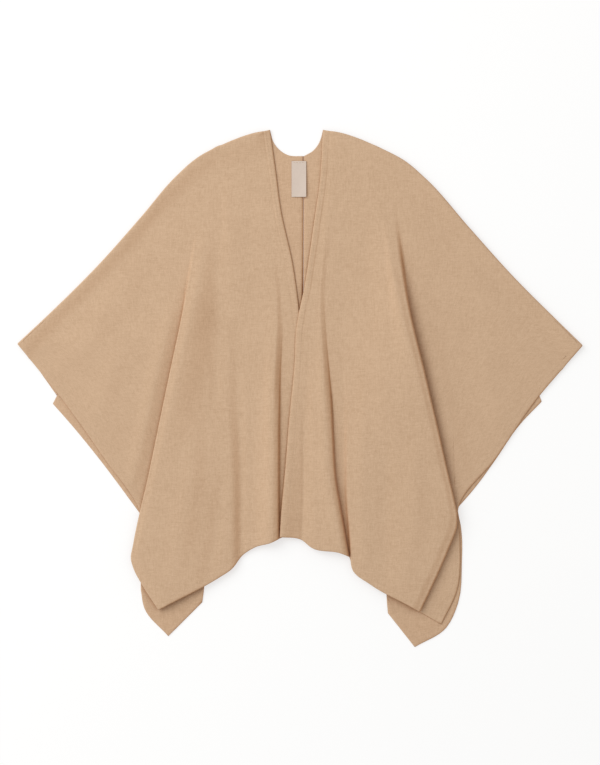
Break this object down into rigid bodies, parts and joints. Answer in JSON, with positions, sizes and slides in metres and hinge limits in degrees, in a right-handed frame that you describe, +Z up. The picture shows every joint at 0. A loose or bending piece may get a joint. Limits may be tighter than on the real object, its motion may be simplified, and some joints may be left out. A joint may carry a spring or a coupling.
{
  "type": "poncho",
  "caption": "Wool poncho laid flat, front up: open V front, wide shaped sides, soft folds down the fronts and a pleat beside each arm.",
  "frame": {"origin": "on the floor under the middle of the whole outline", "axes": "+X towards the wearer's left (right in the picture), +Y towards the neck, +Z up out of the floor"},
  "size_m": [1.0336, 0.9463, 0.023],
  "materials": {
    "wool": "brushed camel-coloured wool, matt",
    "wool_back": "the same wool, a little darker in the shade of the neck",
    "label": "smooth cream woven tape, bare"
  },
  "bodies": {
    "root": {"front_right": "wool", "front_left": "wool", "back_right": "wool_back", "back_left": "wool_back", "care_label": "label"}
  },
  "joints": []
}
